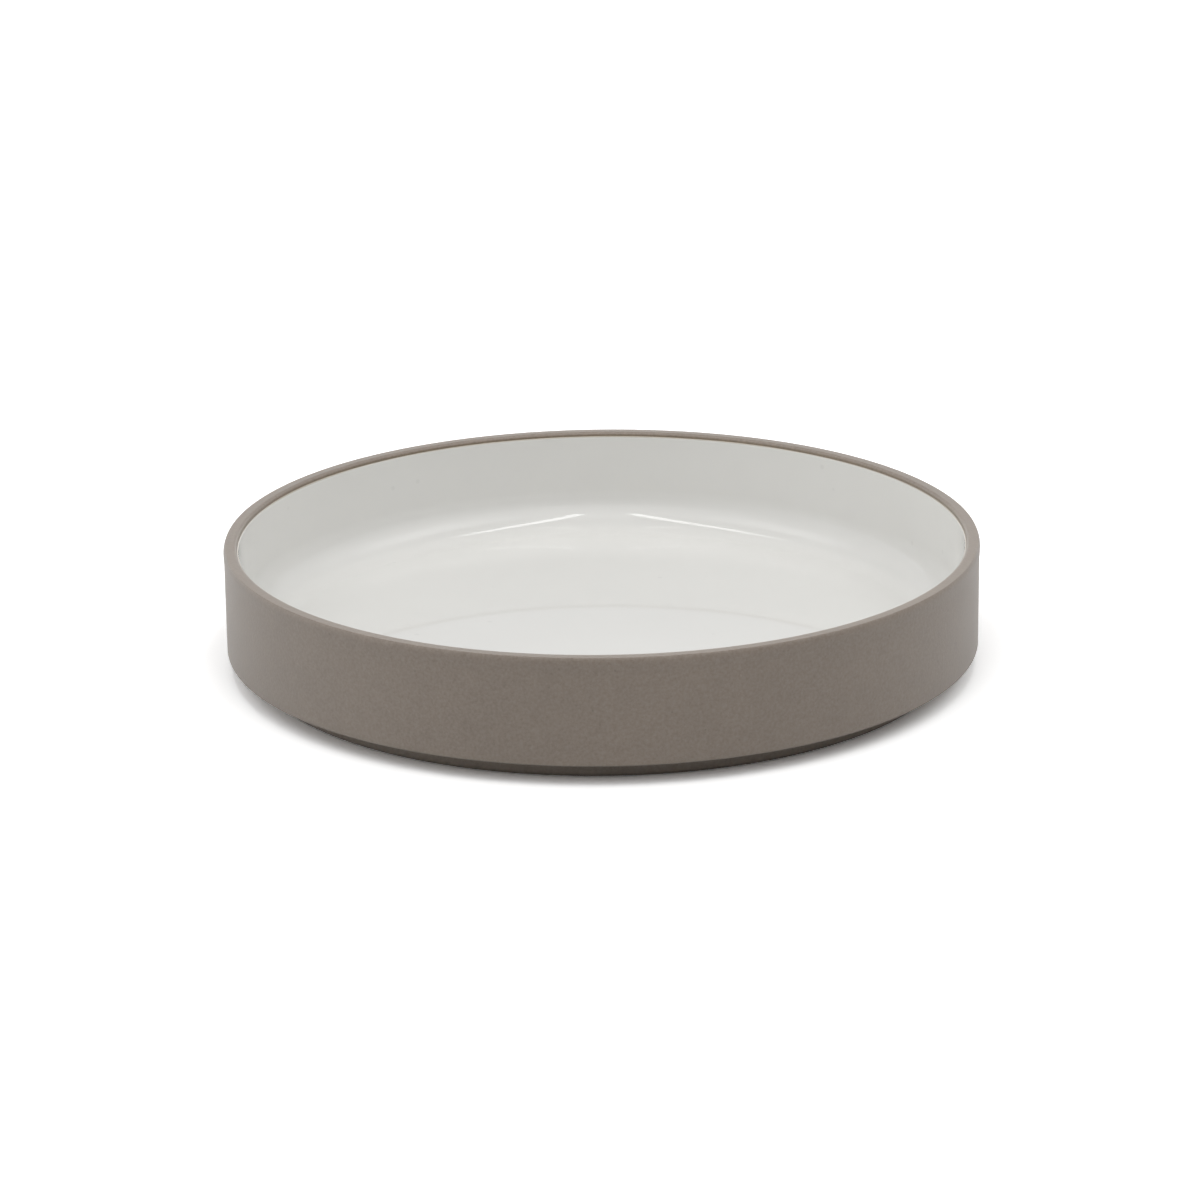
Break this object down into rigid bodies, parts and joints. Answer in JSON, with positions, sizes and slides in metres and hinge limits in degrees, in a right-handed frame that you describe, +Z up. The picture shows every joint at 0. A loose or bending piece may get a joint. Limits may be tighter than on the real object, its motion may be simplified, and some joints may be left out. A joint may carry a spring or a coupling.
{
  "type": "low bowl",
  "caption": "Low round stoneware bowl with a straight wall, flat rim and stepped foot, bare clay outside and glossy pale glaze inside, for serving food.",
  "frame": {"origin": "on the bowl's axis, at the plane that the foot ring stands on", "axes": "+Z up along the bowl's axis, out of its mouth; X and Y are equal, since the bowl is round"},
  "size_m": [0.22, 0.22, 0.037],
  "materials": {
    "bare_stoneware": "matte",
    "white_glaze": "gloss"
  },
  "bodies": {
    "root": {"stoneware_body": "bare_stoneware", "interior_glaze": "white_glaze"}
  },
  "joints": []
}
